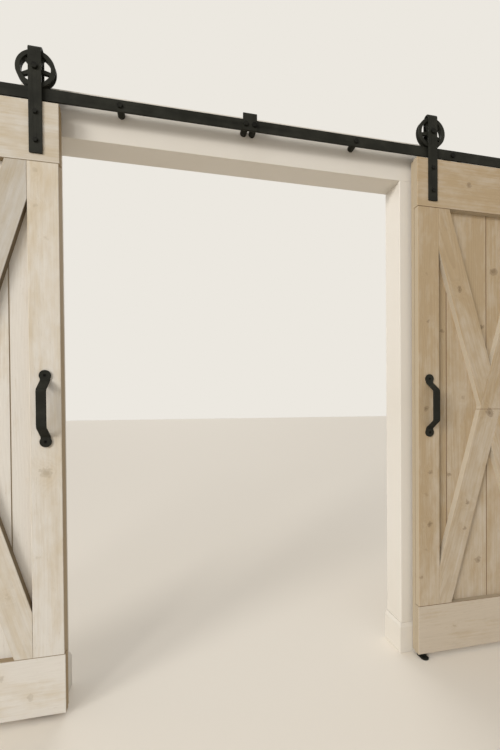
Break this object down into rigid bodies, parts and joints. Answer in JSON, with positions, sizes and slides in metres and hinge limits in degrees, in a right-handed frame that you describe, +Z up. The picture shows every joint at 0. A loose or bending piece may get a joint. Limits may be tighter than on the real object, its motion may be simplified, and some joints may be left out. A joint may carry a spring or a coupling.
{
  "type": "pair of sliding barn doors with doorway frame",
  "caption": "Braced plank doors on spoked wheels that roll along a flat black rail, in front of a white doorway frame.",
  "frame": {"origin": "on the floor, under the joint of the rail, in the plane of the wall's face", "axes": "+X to the right along the rail, +Y into the wall and through the doorway, +Z up"},
  "size_m": [2.9, 0.212, 2.199],
  "materials": {
    "whitewashed_boards": "whitewashed softwood, matt, fine grain",
    "white_painted_timber": "white paint, eggshell",
    "black_steel": "matt black powder coat",
    "bumper_rubber": "matt black"
  },
  "bodies": {
    "root": {"left_jamb": "white_painted_timber", "right_jamb": "white_painted_timber", "header": "white_painted_timber", "jamb_skirting": "white_painted_timber", "rail_left_half": "black_steel", "rail_right_half": "black_steel", "rail_joint_plate": "black_steel", "rail_standoffs": "black_steel", "rail_bolts": "black_steel", "end_stops": "black_steel", "end_stop_bumpers": "bumper_rubber", "floor_guide_left": "black_steel", "floor_guide_right": "black_steel", "floor_guide_screws": "black_steel"},
    "left_door": {"left_plank_1": "whitewashed_boards", "left_plank_2": "whitewashed_boards", "left_plank_3": "whitewashed_boards", "left_plank_4": "whitewashed_boards", "left_top_rail": "whitewashed_boards", "left_bottom_rail": "whitewashed_boards", "left_inner_stile": "whitewashed_boards", "left_outer_stile": "whitewashed_boards", "left_long_brace": "whitewashed_boards", "left_upper_brace": "whitewashed_boards", "left_lower_brace": "whitewashed_boards", "left_handle": "black_steel", "left_handle_screws": "black_steel", "left_inner_hanger": "black_steel", "left_outer_hanger": "black_steel", "left_hanger_bolts": "black_steel", "left_axle_bolts": "black_steel", "left_axle_nuts": "black_steel", "left_axle_sleeves": "black_steel", "left_anti_jump_discs": "black_steel", "left_disc_screws": "black_steel"},
    "left_inner_wheel": {"left_inner_wheel": "black_steel"},
    "left_outer_wheel": {"left_outer_wheel": "black_steel"},
    "right_door": {"right_plank_1": "whitewashed_boards", "right_plank_2": "whitewashed_boards", "right_plank_3": "whitewashed_boards", "right_plank_4": "whitewashed_boards", "right_top_rail": "whitewashed_boards", "right_bottom_rail": "whitewashed_boards", "right_inner_stile": "whitewashed_boards", "right_outer_stile": "whitewashed_boards", "right_long_brace": "whitewashed_boards", "right_upper_brace": "whitewashed_boards", "right_lower_brace": "whitewashed_boards", "right_handle": "black_steel", "right_handle_screws": "black_steel", "right_inner_hanger": "black_steel", "right_outer_hanger": "black_steel", "right_hanger_bolts": "black_steel", "right_axle_bolts": "black_steel", "right_axle_nuts": "black_steel", "right_axle_sleeves": "black_steel", "right_anti_jump_discs": "black_steel", "right_disc_screws": "black_steel"},
    "right_inner_wheel": {"right_inner_wheel": "black_steel"},
    "right_outer_wheel": {"right_outer_wheel": "black_steel"}
  },
  "joints": [
    {"name": "left_door_slide", "type": "slide", "parent": "root", "child": "left_door", "axis": [1, 0, 0], "range_m": [-0.0617, 0.6343]},
    {"name": "left_inner_wheel_spin", "type": "hinge", "parent": "left_door", "child": "left_inner_wheel", "pos_m": [-0.70953, -0.046, 2.126], "axis": [0, 1, 0], "range_deg": [-66, 663]},
    {"name": "left_outer_wheel_spin", "type": "hinge", "parent": "left_door", "child": "left_outer_wheel", "pos_m": [-1.27353, -0.046, 2.126], "axis": [0, 1, 0], "range_deg": [-66, 663]},
    {"name": "right_door_slide", "type": "slide", "parent": "root", "child": "right_door", "axis": [1, 0, 0], "range_m": [-0.6736, 0.0224]},
    {"name": "right_inner_wheel_spin", "type": "hinge", "parent": "right_door", "child": "right_inner_wheel", "pos_m": [0.74883, -0.046, 2.126], "axis": [0, 1, 0], "range_deg": [-704, 25]},
    {"name": "right_outer_wheel_spin", "type": "hinge", "parent": "right_door", "child": "right_outer_wheel", "pos_m": [1.31283, -0.046, 2.126], "axis": [0, 1, 0], "range_deg": [-704, 25]}
  ],
  "couplings": [
    {"joint": "left_inner_wheel_spin", "follows": "left_door_slide", "rad_per_m": 18.182},
    {"joint": "left_outer_wheel_spin", "follows": "left_door_slide", "rad_per_m": 18.182},
    {"joint": "right_inner_wheel_spin", "follows": "right_door_slide", "rad_per_m": 18.182},
    {"joint": "right_outer_wheel_spin", "follows": "right_door_slide", "rad_per_m": 18.182}
  ]
}
